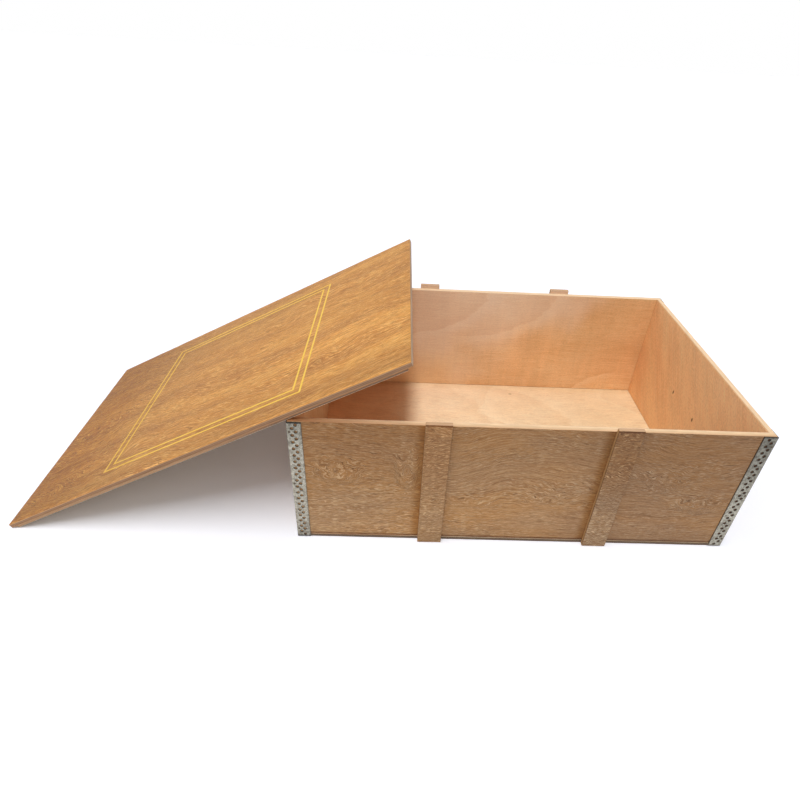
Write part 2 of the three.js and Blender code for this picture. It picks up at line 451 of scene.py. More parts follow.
def plyEdge(name, axes, shift, start, thickness, tones, tint=None):
    # the sheet's cut edge: face plies along it, cross plies between them, all a little torn
    material = newMaterial(name)
    where = grainSpace(axes, shift)
    depth = parts(grainSpace(axes))[2]
    wave = swing(where, edgeGrain["wave"], 1)
    level = sums("DIVIDE", minus(depth, start), thickness)
    level = plus(level, times(wave, edgeGrain["waveBy"]))
    torn = cloud(where, edgeGrain["torn"], 2, 0.6)
    color = rampOf(level, tones, "EASE")
    color = dimmed(color, between(torn, *edgeGrain["shade"], "LINEAR"))
    if tint:
        color = tint(color)
    dull = between(torn, *edgeGrain["shine"], "LINEAR")
    return finishWith(material, color, dull, torn, edgeGrain["relief"])


strip = {
    "width": 0.0185, "thickness": 0.001, "length": 0.203, "bottom": 0.001, "bendSteps": 8,
    "holeRadius": 0.002, "lipRadius": 0.0022, "lipDepth": 0.0003, "pitch": 0.0108,
    "farCount": 19, "nearShare": 0.36, "farShare": 0.61, "holeSides": 20, "overrun": 0.002,
    "flush": 0.0001, "ragged": 0.00035, "jag": (400, 400, 90), "endBand": 0.001,
}
# the two darkest tones paint shade round the holes, along the free edges and at the sheared ends
zincLook = {
    "dark": "857f73", "middle": "a9a495", "light": "c5c1b2", "white": "c7c4b6", "worn": "4a433a",
    "endShadeTone": "332d27", "tones": (0.36, 0.5, 0.62), "edgeShade": 0.45, "endShade": 0.92, "ring": 0.5,
    "topLevel": 0.72, "topStart": 0.15, "top": 0.195, "footLevel": 0.8, "foot": 0.05,
}
zincGrain = {
    "spangle": 300.0, "grit": (620, 620, 520), "stain": (60, 60, 30), "frayBy": 0.002,
    "spangleShare": 0.15, "gritShare": 0.55, "stainShare": 0.3, "relief": 0.00012,
    "bloom": (0.58, 0.7, 0, 0.5), "ring": (0.0029, 0.0022), "rub": (-0.0162, -0.0173),
    "endShade": (0.0030, 0.0014), "shine": (0.3, 0.7, 0.55, 0.4), "metal": (0, 0.5, 0.8, 0.5),
}


def nearestHole(split, share, offset):
    # distance from the middle of the nearest hole of one row, on either leg of the strip
    along = sums("MINIMUM", split[0], split[1])
    along = minus(along, strip["thickness"] - share * strip["width"])
    height = plus(split[2], offset - strip["length"] / 2)
    height = sums("PINGPONG", height, strip["pitch"] / 2)
    return lengthOf(put("CombineXYZ", {0: along, 1: height}).outputs[0])


def zincCoat(name, look=zincLook):
    # hot dip spangle with a fine grit, and painted shade round the punched holes, along the free edges and
    # at the ends
    material = newMaterial(name)
    grain = zincGrain
    where = onPiece()
    split = parts(where)
    crystals = put("TexVoronoi", {"Vector": where, "Scale": grain["spangle"], "Randomness": 1.0})
    spangle = put("SeparateColor", {0: crystals.outputs["Color"]}).outputs[0]
    grit = cloud(where, grain["grit"], 2, 0.65)
    stain = cloud(where, grain["stain"], 3, 0.65)
    mixed = plus(times(spangle, grain["spangleShare"]), times(grit, grain["gritShare"]))
    mixed = plus(mixed, times(stain, grain["stainShare"]))
    stops = zip(look["tones"], (look["dark"], look["middle"], look["light"]))
    color = rampOf(mixed, list(stops))
    bloom = between(stain, *grain["bloom"])
    color = toned(color, bloom, look["white"])
    fray = times(minus(grit, 0.5), grain["frayBy"])
    far = nearestHole(split, strip["farShare"], 0.0)
    far = sums("MINIMUM", far, nearestHole(split, strip["nearShare"], strip["pitch"] / 2))
    # painted shade round each hole
    ring = between(plus(far, fray), *grain["ring"], 0.0, look["ring"])
    color = toned(color, ring, look["worn"])
    # painted shade along the free edges
    along = plus(sums("MINIMUM", split[0], split[1]), fray)
    color = toned(color, between(along, *grain["rub"], 0.0, look["edgeShade"]), look["worn"])
    # painted shade at both sheared ends
    fromEnd = sums("MINIMUM", split[2], minus(strip["length"], split[2]))
    endShade = between(plus(fromEnd, fray), *grain["endShade"], 0.0, look["endShade"])
    color = toned(color, endShade, look["endShadeTone"])
    level = between(split[2], look["topStart"], look["top"], 1.0, look["topLevel"])
    level = times(level, between(split[2], look["foot"], 0.0, 1.0, look["footLevel"]))
    color = dimmed(color, level)
    rough = between(mixed, *grain["shine"], "LINEAR")
    metal = between(bloom, *grain["metal"], "LINEAR")
    return finishWith(material, color, rough, mixed, grain["relief"], metallic=metal)


steelGrain = {
    "spots": (700, 700, 700), "tones": (0.35, 0.65), "rough": (0.12, -0.1), "relief": 0.00015,
    "metallic": 0.75,
}


def plainSteel(name, dark, light, roughness):
    # sheared edges and nails: dark steel with a little rust brown
    material = newMaterial(name)
    spots = cloud(onPiece(), steelGrain["spots"], 3, 0.6)
    color = rampOf(spots, list(zip(steelGrain["tones"], (dark, light))))
    rough = between(spots, 0.3, 0.7, *(roughness + v for v in steelGrain["rough"]), "LINEAR")
    return finishWith(material, color, rough, spots, steelGrain["relief"], steelGrain["metallic"])


inkLook = {
    "tones": [(0.28, "c28d2c"), (0.38, "ecbe3b"), (0.7, "f0c84a")], "worn": (60, 700, 200),
    "foot": (0.26, 0.16), "footTone": "efe8cc", "shine": (0.3, 0.7, 0.6, 0.42), "relief": 0.0001,
}


def goldPaint(name):
    # thin screen-printed ink that lets a little of the grain through
    material = newMaterial(name)
    where = onPiece()
    worn = cloud(where, inkLook["worn"], 3, 0.65)
    color = rampOf(worn, inkLook["tones"])
    foot = between(parts(where)[0], *inkLook["foot"])
    color = washed(color, foot, inkLook["footTone"])
    rough = between(worn, *inkLook["shine"], "LINEAR")
    return finishWith(material, color, rough, worn, inkLook["relief"])


def addObject(name, mesh, materials, body, nodes, matrix=None):
    for material in materials:
        mesh.materials.append(material)
    piece = bpy.data.objects.new(name, mesh)
    scene.collection.objects.link(piece)
    if matrix is not None:
        piece.matrix_world = matrix
    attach(piece, body)
    if nodes:
        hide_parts(*nodes)


def skin(work, loops):
    # faces from each loop of corners to the next; a loop of one corner is a tip
    for first, second in zip(loops, loops[1:]):
        count = max(len(first), len(second))
        for k in range(count):
            n = (k + 1) % count
            ring = [first[k % len(first)], first[n % len(first)],
                    second[n % len(second)], second[k % len(second)]]
            work.faces.new(list(dict.fromkeys(ring)))


def circle(radius, sides):
    angles = [2 * math.pi * k / sides for k in range(sides)]
    return [(radius * math.cos(a), radius * math.sin(a)) for a in angles]


def meshOf(work, name):
    mesh = bpy.data.meshes.new(name)
    work.to_mesh(mesh)
    work.free()
    return mesh


# how an arris wanders: noise scale, where the noise is read, and its share
wanderNoise = [(55, Vector((3.1, 7.7, 1.3)), 0.6), (170, Vector((1.1, 2.7, 9.3)), 0.4)]
arrisReach = 1.2  # of its easing, how far in a corner still belongs to it


def boardMesh(name, low, high, board, sides):
    # a sheet with eased arrises that wander a little, cut into short stretches along its faces
    low, high = Vector(low), Vector(high)
    size = high - low
    work = bmesh.new()
    bmesh.ops.create_cube(work, size=1.0)
    for vert in work.verts:
        vert.co = Vector(low[i] + (vert.co[i] + 0.5) * size[i] for i in range(3))
    bmesh.ops.bevel(work, geom=work.edges[:], offset=board["ease"], segments=board["rounds"],
                    profile=0.5, affect="EDGES")
    for axis in range(3):
        count = int(size[axis] / board["stretch"])
        normal = Vector(1.0 if i == axis else 0.0 for i in range(3))
        for index in range(1, count):
            cut = low + normal * (size[axis] * index / count)
            bmesh.ops.bisect_plane(work, geom=work.verts[:] + work.edges[:] + work.faces[:],
                                   plane_co=cut, plane_no=normal)
    near = board["ease"] * arrisReach
    for vert in work.verts:
        close = [i for i in range(3) if min(vert.co[i] - low[i], high[i] - vert.co[i]) < near]
        if len(close) < 2:
            continue
        drift = sum(noise.noise(vert.co * scale + shift) * share for scale, shift, share in wanderNoise)
        for i in close:
            inward = 1 if vert.co[i] - low[i] < near else -1
            vert.co[i] += inward * board["wander"] * (0.5 + 0.5 * drift)
    bmesh.ops.recalc_face_normals(work, faces=work.faces[:])
    order = ["-x", "+x", "-y", "+y", "-z", "+z"]
    for face in work.faces:
        axis = max(range(3), key=lambda i: abs(face.normal[i]))
        face.material_index = sides[order[2 * axis + (face.normal[axis] > 0)]]
    return meshOf(work, name)


def washing(tones):
    # a tint made of washes alone
    return lambda color: washes(color, tones)


corner = {"x": 0.309, "y": 0.209}
wallSheet = {"thickness": 0.009, "ease": 0.0007, "rounds": 2, "stretch": 0.012, "wander": 0.0004}
baseSheet = {"thickness": 0.005, "ease": 0.0005, "rounds": 2, "stretch": 0.02, "wander": 0.0002}

# the plies of each cut edge, as shares of its thickness
rimTones = [(0.0, "fbdcb6"), (0.2, "fbdcb6"), (0.3, "f3cea3"), (0.42, "f5d2a9"), (0.5, "fbddb9"),
            (0.58, "f5d2a9"), (0.7, "f3cea3"), (0.8, "fadab3"), (1.0, "fadab3")]
# the right rim's inner side carries painted shade in the inner face's tone, so the rim reads thinner
rightRimTones = [(0.0, "cf9d70"), (0.1, "d3a377"), (0.2, "f3cfa4"), (0.42, "f8d8b1")] + rimTones[4:]
frontRimTones = [(0.0, "dcb186"), (0.25, "e8c095"), (0.5, "f2cda1"), (0.75, "f8d6ac"), (1.0, "ffe2c0")]
stainedTones = [(0.0, "46362a"), (0.16, "524032"), (0.3, "6c5746"), (0.62, "73604e"),
                (0.8, "503d2f"), (1.0, "3f3027")]

# washes in metres on the piece: the stain is deeper towards the top, the walls are darker along the
# foot, the front is darker at its ends, and the lid's shadow is painted on the front rim's left end
wallWashes = [("e2dcd6", ("z", 0.02, 0.2, "LINEAR")), ("bcaea2", ("z", 0.0108, 0.0078))]
frontWashes = [("f3ece4", ("x", -0.1, -0.2), ("z", 0.07, 0.17)), ("e8e8ee", ("x", 0.03, 0.13)),
               ("f1eeea", ("x", -0.14, -0.08), ("z", 0.045, 0.012))]
# painted shadow of the lid across the front rim's left end
rimPaintedShadow = [("b69b82", ("x", -0.12, -0.295, "LINEAR"))]
backUpper = [("f4efe8", ("x", -0.02, 0.12), ("z", 0.04, 0.12))]
backLower = [("fff6e0", ("x", -0.03, -0.1), ("z", 0.1, 0.03))]
rightWashes = [("faf4ee", ("y", -0.12, 0.2, "LINEAR"))]
# painted shade on the floor: along the back wall, towards the right, and the lid's shadow at its left end
floorPaintedShade = [("f6f4ee", ("y", 0.176, 0.198)), ("edf0e9", ("x", -0.15, 0.25, "LINEAR")),
               ("f6dfce", ("x", -0.13, -0.2))]

# painted shade beside the front battens, and on the wood seen through the corner strip's holes
battenPaintedShade = {
    "edges": (-0.1387, 0.1010), "fade": (0.015, 0.003), "under": -0.002, "tone": "e3d1a9",
    "holeShade": "8f8276",
}


def frontTint(color):
    # painted shade, warmed by the batten's side, left of each front batten, and in the strip's holes
    color = washes(color, wallWashes + frontWashes)
    along = parts(onPiece())[0]
    # painted shade with a warm cast along the left side of each batten
    for edge in battenPaintedShade["edges"]:
        far = minus(edge, along)
        mark = between(far, *battenPaintedShade["fade"])
        mark = times(mark, sums("GREATER_THAN", far, battenPaintedShade["under"]))
        color = washed(color, mark, battenPaintedShade["tone"])
    # the wood behind the strip is darkened as painted shade for its holes
    behind = sums("GREATER_THAN", along, corner["x"] - strip["width"])
    return washed(color, behind, battenPaintedShade["holeShade"])


backTones = {
    "cloud": (9, 9, 9), "cloudBy": 0.3, "slope": 1.1, "warm": (-0.04, 0.16), "warmTone": "fcebd4",
    "rosy": (0.0, 1.0, 0.4, 0.0), "rosyTone": "fbdcc4",
    "glow": (0.075, 0.2, 0.1), "glowScale": (11.0, 0.0, 15.0), "glowLevel": (1.2, 0.3, 1.0, 1.1),
}


def backWallTint(color):
    # rosy and pale towards its top left, more orange towards its lower right, with a painted pool of light
    where = onPiece()
    split = parts(where)
    drift = times(cloud(where, backTones["cloud"]), backTones["cloudBy"])
    slope = minus(split[0], times(split[2], backTones["slope"]))
    warm = between(plus(slope, drift), *backTones["warm"])
    color = washed(color, warm, backTones["warmTone"])
    color = washes(color, backUpper)
    color = toned(color, between(warm, *backTones["rosy"]), backTones["rosyTone"])
    color = washes(color, backLower)
    # a painted pool of light a little right of the middle
    far = farFrom(where, backTones["glow"], backTones["glowScale"])
    return dimmed(color, between(far, *backTones["glowLevel"]))


# painted light on the floor away from the back wall, most so on the left
floorPaintedLight = {"front": (0.18, 0.08), "most": (0.22, -0.1, 0.05, 0.13), "greener": 1.3}


def floorTint(color):
    # painted light, paler away from the back wall and most so on the left, and painted shade, darker
    # along the back wall and towards the right, redder and darker at its left end under the lid
    split = parts(onPiece())
    front = between(split[1], *floorPaintedLight["front"])
    most = between(split[0], *floorPaintedLight["most"])
    red = plus(1.0, times(front, most))
    others = plus(1.0, times(front, times(most, floorPaintedLight["greener"])))
    return washes(dimmed(color, red, others), floorPaintedShade)


# burrs of the stained faces: along, height, half length, half height, liveliness
frontCurls = [
    (-0.249, 0.130, 0.024, 0.020, 0.8), (-0.158, 0.134, 0.012, 0.028, 0.85),
    (0.034, 0.084, 0.022, 0.008, 0.4), (-0.066, 0.078, 0.024, 0.009, 0.5),
    (0.196, 0.130, 0.030, 0.016, 0.7), (0.250, 0.085, 0.026, 0.014, 0.7),
]
backCurls = [(0.11, 0.12, 0.022, 0.020, 0.9), (0.2, 0.07, 0.032, 0.012, 0.7),
             (-0.18, 0.10, 0.018, 0.024, 0.8)]
sideCurls = [(-0.07, 0.11, 0.020, 0.020, 0.9), (0.09, 0.06, 0.030, 0.012, 0.7)]
frontFigure = {"climb": (-0.115, -0.005, 0.22, -0.05, 0.2, 0.024), "livelyEnd": (-0.06, -0.16, 0.66)}

# each knot's place, half sizes and depth of tone
pinKnots = [((0.3, 0.0385, 0.1078), (0.01, 0.0024, 0.0044), 0.95),
            ((0.3, -0.041, 0.1072), (0.01, 0.0030, 0.0042), 0.95)]
floorMark = [((0.052, 0.171, 0.005), (0.0046, 0.0024, 0.01), 0.6)]

# growth rings cut at a slant: middle along and across, half width, half height, paler side
backSlices = [(-0.2, 0.215, 0.189, 0.103, 1), (-0.1, 0.215, 0.213, 0.105, 1),
              (0.3, -0.01, 0.12, 0.062, -1)]
floorSlices = [(-0.2, 0.04, 0.205, 0.19, 1), (-0.035, 0.03, 0.2, 0.17, 1)]

backLook = dict(bareLook, deep="e8c29b", middle="f0cfa9", pale="f6dbb8", line="d3a277", arc="fbe6cd",
                arcs=0.12, grit=0.11, chatter=0.04)
shadedLook = dict(bareLook, deep="d09a68", middle="daa878", pale="e4b88c", line="b98255", arcs=0.2)
rightLook = dict(bareLook, deep="f6c493", middle="ffd2a0", pale="ffdcac", line="dfa877", lean=-0.8,
                 arcs=0.12, grit=0.16, mottle=0.04)
floorLook = dict(bareLook, deep="ecc9a2", middle="f2d2ae", pale="f5dab8", line="d3a477", arc="f8e0c0",
                 mottle=0.035, slice=0.5, knot="6b4a12")

thick = wallSheet["thickness"]
stainWash = washing(wallWashes)
rimFront = plyEdge("bare_edge_front", (0, 2, 1), (0, 0, 0), -corner["y"], thick, frontRimTones,
                   washing(rimPaintedShadow))
rimBack = plyEdge("bare_edge_back", (0, 2, 1), (1, 0, 0), corner["y"] - thick, thick, rimTones)
rimLeft = plyEdge("bare_edge_left", (1, 2, 0), (2, 0, 0), -corner["x"], thick, rimTones)
rimRight = plyEdge("bare_edge_right", (1, 2, 0), (3, 0, 0), corner["x"] - thick, thick, rightRimTones)
baseEdge = plyEdge("stained_edge_base", (0, 1, 2), (0, 4, 0), 0.0, baseSheet["thickness"], stainedTones)

walls = {
    "front_wall": {
        "outer": ("-y", stainedVeneer("stained_front", (0, 2, 1), (0.35, 0, 0), frontCurls, frontTint,
                                      **frontFigure)),
        "inner": ("+y", bareVeneer("bare_front", (0, 2, 1), (5, 0, 0), (), shadedLook)),
        "rim": rimFront,
    },
    "back_wall": {
        "outer": ("+y", stainedVeneer("stained_back", (0, 2, 1), (7, 0, 0), backCurls, stainWash)),
        "inner": ("-y", bareVeneer("bare_back", (0, 2, 1), (1.4, 0.3, 0), (), backLook, backWallTint,
                                   backSlices)),
        "rim": rimBack,
    },
    "left_wall": {
        "outer": ("-x", stainedVeneer("stained_left", (1, 2, 0), (9, 0, 0), sideCurls, stainWash)),
        "inner": ("+x", bareVeneer("bare_left", (2, 1, 0), (11, 0, 0))),
        "rim": rimLeft,
    },
    "right_wall": {
        "outer": ("+x", stainedVeneer("stained_right", (1, 2, 0), (13, 0, 0), sideCurls, stainWash)),
        "inner": ("-x", bareVeneer("bare_right", (2, 1, 0), (15, 0.2, 0), pinKnots, rightLook,
                                   washing(rightWashes))),
        "rim": rimRight,
    },
}

for node, wall in walls.items():
    low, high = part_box(node)
    sides = dict.fromkeys(["-x", "+x", "-y", "+y", "-z", "+z"], 2)
    sides[wall["outer"][0]] = sides["-z"] = 0
    sides[wall["inner"][0]] = 1
    mesh = boardMesh(node + "_sheet", low, high, wallSheet, sides)
    addObject(node + "_sheet", mesh, [wall["outer"][1], wall["inner"][1], wall["rim"]],
              "box", [node])
print("crate: walls")

low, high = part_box("base_panel")
sides = dict.fromkeys(["-x", "+x", "-y", "+y"], 2)
sides.update({"+z": 0, "-z": 1})
mesh = boardMesh("base_sheet", low, high, baseSheet, sides)
addObject("base_sheet", mesh, [
    bareVeneer("bare_floor", (0, 1, 2), (21, 0, 0), floorMark, floorLook, floorTint, floorSlices),
    bareVeneer("bare_underside", (0, 1, 2), (23, 0, 0)), baseEdge], "box", ["base_panel"])
print("crate: base")

battenSheet = {"thickness": 0.007, "ease": 0.0007, "rounds": 2, "stretch": 0.011, "wander": 0.0004}
battenLooks = [
    dict(stainLook, warm="aa7e51", cool="a27c58", fleck="e8c89e", pore="5e4028",
         calm=0.7, lively=0.85, fine=1.25),
    dict(stainLook, warm="a27c56", cool="98775a", fleck="e6cba8", light="bf9b72",
         pore="5e4028", calm=0.85, lively=0.95, fine=1.3),
]
battenBackLook = dict(bareLook, deep="dcb99c", middle="e4c4a8", pale="ebcfb5")
# deeper towards the top, a little darker at the foot, and a dark line under the cut end
battenWashes = [
    [(top, ("z", 0.03, 0.16)), ("eeebe6", ("z", 0.035, 0.0)), ("c2a888", ("z", 0.2074, 0.2088))]
    for top in ("f4e4d0", "dbc7ae")
]
battenEndTones = [(0.0, "664a2e"), (0.06, "765636"), (0.11, "cba47e"), (0.5, "d2ab86"), (0.9, "caa27a"),
                  (1.0, "b08a66")]
battenSideTones = [(0.0, "5f4428"), (0.16, "6b4d2e"), (0.28, "b48856"), (0.6, "ba8e5c"), (0.9, "b48856"),
                   (1.0, "9c7546")]


def turned(tones):
    # the same plies seen from the other side
    return [(1 - place, code) for place, code in reversed(tones)]


battenBack = bareVeneer("bare_batten_back", (0, 2, 1), (35, 0, 0), (), battenBackLook)
thick = battenSheet["thickness"]
for end, sign in (("front", -1), ("back", 1)):
    start = -corner["y"] - thick if sign < 0 else corner["y"]
    endTones = battenEndTones if sign < 0 else turned(battenEndTones)
    sideTones = battenSideTones if sign < 0 else turned(battenSideTones)
    endGrain = plyEdge("batten_end_" + end, (0, 2, 1), (31, 0, sign), start, thick, endTones)
    sideGrain = plyEdge("batten_side_" + end, (2, 0, 1), (33, 0, sign), start, thick, sideTones)
    for index, side in enumerate(("left", "right")):
        node = "batten_%s_%s" % (end, side)
        low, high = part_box(node)
        face = stainedVeneer("stained_" + node, (0, 2, 1), (41 + 3 * index, sign, 0), (),
                             washing(battenWashes[index]), battenLooks[index])
        outer, inner = ("-y", "+y") if sign < 0 else ("+y", "-y")
        sides = {outer: 0, inner: 3, "-x": 1, "+x": 1, "-z": 2, "+z": 2}
        mesh = boardMesh(node + "_bar", low, high, battenSheet, sides)
        addObject(node + "_bar", mesh, [face, sideGrain, endGrain, battenBack],
                  "box", [node])
print("crate: battens")


def holeHeight(index, count):
    return strip["length"] / 2 + (index - (count - 1) / 2) * strip["pitch"]


def stripBlank():
    # the L section, its wood corner at zero and its faces back along -x and -y, drawn upwards
    t, reach = strip["thickness"], strip["width"] - strip["thickness"]
    outline = [(0, 0), (0, -reach), (t, -reach), (t, 0)]
    for step in range(1, strip["bendSteps"]):
        angle = math.pi / 2 * step / strip["bendSteps"]
        outline.append((t * math.cos(angle), t * math.sin(angle)))
    outline += [(0, t), (-reach, t), (-reach, 0)]
    work = bmesh.new()
    bottom = [work.verts.new((x, y, 0)) for x, y in outline]
    top = [work.verts.new((x, y, strip["length"])) for x, y in outline]
    work.faces.new(list(reversed(bottom)))
    work.faces.new(top)
    skin(work, [bottom, top])
    bmesh.ops.triangulate(work, faces=[f for f in work.faces if abs(f.normal.z) > 0.5 or len(f.verts) > 4])
    bmesh.ops.recalc_face_normals(work, faces=work.faces[:])
    return meshOf(work, "strip_blank")


def punch():
    # every hole of a strip as one cutter, wider at the outer surface, where the metal is drawn in
    t = strip["thickness"]
    rings = [(-strip["overrun"], strip["holeRadius"]), (t - strip["lipDepth"], strip["holeRadius"]),
             (t, strip["lipRadius"]), (t + strip["overrun"], strip["lipRadius"])]
    rows = [(strip["farShare"], strip["farCount"]), (strip["nearShare"], strip["farCount"] - 1)]
    work = bmesh.new()
    for share, count in rows:
        along = t - share * strip["width"]
        for index in range(count):
            height = holeHeight(index, count)
            for swap in (False, True):
                loops = []
                for depth, radius in rings:
                    loop = []
                    for aside, up in circle(radius, strip["holeSides"]):
                        place = (depth, along + aside) if swap else (along + aside, depth)
                        loop.append(work.verts.new((*place, height + up)))
                    loops.append(loop)
                skin(work, loops)
                work.faces.new(loops[0])
                work.faces.new(loops[-1])
    bmesh.ops.recalc_face_normals(work, faces=work.faces[:])
    return meshOf(work, "strip_punch")


def punchedStrip():
    blank = bpy.data.objects.new("strip_work", stripBlank())
    cutter = bpy.data.objects.new("strip_cutter", punch())
    for material in (zinc, shearedEdge):
        blank.data.materials.append(material)
        cutter.data.materials.append(material)
    for face in cutter.data.polygons:
        face.material_index = 1
    for thing in (blank, cutter):
        scene.collection.objects.link(thing)
    boolean = blank.modifiers.new("holes", "BOOLEAN")
    boolean.object = cutter
    boolean.operation = "DIFFERENCE"
    boolean.solver = "EXACT"
    shaped = blank.evaluated_get(bpy.context.evaluated_depsgraph_get())
    mesh = bpy.data.meshes.new_from_object(shaped)
    for thing in (blank, cutter):
        bpy.data.objects.remove(thing)
    # the sheared ends are ragged and bare
    for vert in mesh.vertices:
        fromEnd = min(vert.co.z, strip["length"] - vert.co.z)
        if fromEnd < strip["flush"]:
            jag = noise.noise(Vector(c * scale for c, scale in zip(vert.co, strip["jag"])))
            inward = 1 if vert.co.z < strip["length"] / 2 else -1
            vert.co.z += inward * strip["ragged"] * (0.5 + 0.5 * jag)
    for face in mesh.polygons:
        ends = [mesh.vertices[i].co.z for i in face.vertices]
        if max(ends) < strip["endBand"] or min(ends) > strip["length"] - strip["endBand"]:
            face.material_index = 1
    return mesh


zinc = zincCoat("zinc_coat")
zincTarnished = zincCoat("zinc_coat_tarnished",
                         dict(zincLook, edgeShade=0.15, endShade=0.35, topLevel=0.5, topStart=0.05))
shearedEdge = plainSteel("sheared_edge", "3a3733", "5e5a54", 0.55)
blankStrip = punchedStrip()
for name, signX, signY in (("front_left", -1, -1), ("front_right", 1, -1), ("back_left", -1, 1),
                           ("back_right", 1, 1)):
    turn = math.atan2(signY, signX) - math.pi / 4
    matrix = Matrix.Translation((signX * corner["x"], signY * corner["y"], strip["bottom"]))
    matrix = matrix @ Matrix.Rotation(turn, 4, "Z")
    mesh = blankStrip.copy()
    mesh.materials[0] = zincTarnished if name == "front_right" else zinc
    addObject("strip_" + name, mesh, [], "box", ["corner_strip_" + name], matrix)
print("crate: corner strips")

nail = {
    "head": 0.0015, "rise": 0.0005, "shank": 0.0008, "length": 0.014, "point": 0.002, "sides": 14,
    "rimShares": [(0.55, 1), (0.9, 0.75), (1, 0.35)],
}
nailSteel = plainSteel("nail_steel", "3d342b", "746858", 0.5)


def nailMesh():
    # a flat head with an eased rim, drawn along +z with the strip's surface at zero
    profile = [(0, nail["rise"])]
    profile += [(nail["head"] * out, nail["rise"] * up) for out, up in nail["rimShares"]]
    profile += [(nail["head"], 0), (nail["shank"], 0), (nail["shank"], nail["point"] - nail["length"]),
                (0, -nail["length"])]
    work = bmesh.new()
    loops = []
    for radius, z in profile:
        places = circle(radius, nail["sides"]) if radius else [(0, 0)]
        loops.append([work.verts.new((x, y, z)) for x, y in places])
    skin(work, loops)
    bmesh.ops.recalc_face_normals(work, faces=work.faces[:])
    return meshOf(work, "nail")


drivenNail = nailMesh()
for name in sorted(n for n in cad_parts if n.startswith("nail_")):
    low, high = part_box(name)
    middle = (low + high) / 2
    faceNail = "_face_" in name
    axis = 1 if faceNail else 0
    sign = 1 if middle[axis] > 0 else -1
    out = Vector((0, sign, 0)) if faceNail else Vector((sign, 0, 0))
    place = middle.copy()
    place[axis] = sign * ((corner["y"] if faceNail else corner["x"]) + strip["thickness"])
    matrix = Matrix.Translation(place) @ out.to_track_quat("Z", "Y").to_matrix().to_4x4()
    addObject(name + "_steel", drivenNail.copy(), [nailSteel], "box", [name], matrix)
print("crate: nails")

lid = {
    "length": 0.624, "breadth": 0.417, "thickness": 0.007, "tilt": math.radians(27.510865),
    "foot": -0.7104127, "ease": 0.0006, "rounds": 2, "stretch": 0.014, "wander": 0.0004,
}
liner = {
    "thickness": 0.003, "gap": 0.0003, "sideSetback": 0.001, "endSetback": 0.008, "ease": 0.0003,
    "wander": 0.0002,
}
border = {
    "centre": (0.3124, -0.0037), "outer": (0.158, 0.1667), "inner": (0.1465, 0.155),
    "line": 0.003, "rise": 0.00012, "sink": 0.00005, "skew": 0.0016, "longSide": 0.05, "cuts": 24,
}
lidEdgeTones = [(0.0, "bd8e66"), (0.15, "b98c66"), (0.3, "8d684b"), (0.5, "9e795b"), (0.7, "8d694d"),
                (0.8, "cba27d"), (0.88, "b5855a"), (1.0, "cf9552")]
lidEndTones = [(0.0, "b89b82"), (0.3, "cdb196"), (0.6, "d8bda2"), (1.0, "b88c5e")]
lidEdgePale = (0.06, 0.28, 1.14, 1.0)
linerLook = dict(bareLook, deep="e4cbae", middle="ead5bb", pale="f0dfc8", line="cfae8b")
# the dark band along the liner's edge is painted shade, the gap under the lid panel
linerTones = [(0.0, "e8c9a8"), (0.16, "dcb996"), (0.34, "5c4433"), (0.52, "64493a"), (0.75, "a07a5a"),
              (1.0, "b98f6b")]
linerClosing = {"span": (0.46, 0.3, 0.0, 0.8), "tone": "c9a27c"}
linerWashes = [("e4b48a", ("x", 0.26, 0.48))]  # browner towards the upper end


def lidEdgeTint(color):
    # paler towards the foot
    along = parts(onPiece())[0]
    return dimmed(color, between(along, *lidEdgePale))


def linerEdgeTint(color):
    # the painted shade line along the edge closes towards the foot
    along = parts(onPiece())[0]
    return toned(color, between(along, *linerClosing["span"]), linerClosing["tone"])


lean = Matrix.Translation((lid["foot"], 0, 0)) @ Matrix.Rotation(-lid["tilt"], 4, "Y")
half = lid["breadth"] / 2
mesh = boardMesh("lid_sheet", (0, -half, 0), (lid["length"], half, lid["thickness"]), lid,
                 {"+z": 0, "-z": 1, "-x": 3, "+x": 3, "-y": 2, "+y": 2})
addObject("lid_sheet", mesh, [
    goldenVeneer("golden_lid", (0, 1, 2), (51, 0.2, 0)),
    bareVeneer("bare_lid_underside", (0, 1, 2), (53, 0, 0)),
    plyEdge("lid_long_edge", (0, 1, 2), (55, 0, 0), 0, lid["thickness"], lidEdgeTones, lidEdgeTint),
    plyEdge("lid_end_edge", (1, 0, 2), (57, 0, 0), 0, lid["thickness"], lidEndTones)],
    "lid", ["lid_panel"], lean)

half = half - liner["sideSetback"]
top = -liner["gap"]
bottom = top - liner["thickness"]
linerSheet = dict(lid, ease=liner["ease"], wander=liner["wander"])
mesh = boardMesh("liner_sheet", (liner["endSetback"], -half, bottom),
                 (lid["length"] - liner["endSetback"], half, top), linerSheet,
                 {"+z": 0, "-z": 0, "-x": 2, "+x": 2, "-y": 1, "+y": 1})
addObject("liner_sheet", mesh, [
    bareVeneer("bare_liner", (0, 1, 2), (61, 0, 0), (), linerLook, washing(linerWashes)),
    plyEdge("liner_long_edge", (0, 1, 2), (63, 0, 0), bottom, liner["thickness"], linerTones,
            linerEdgeTint),
    plyEdge("liner_end_edge", (1, 0, 2), (65, 0, 0), bottom, liner["thickness"], linerTones)],
    "lid", ["lid_liner"], lean)


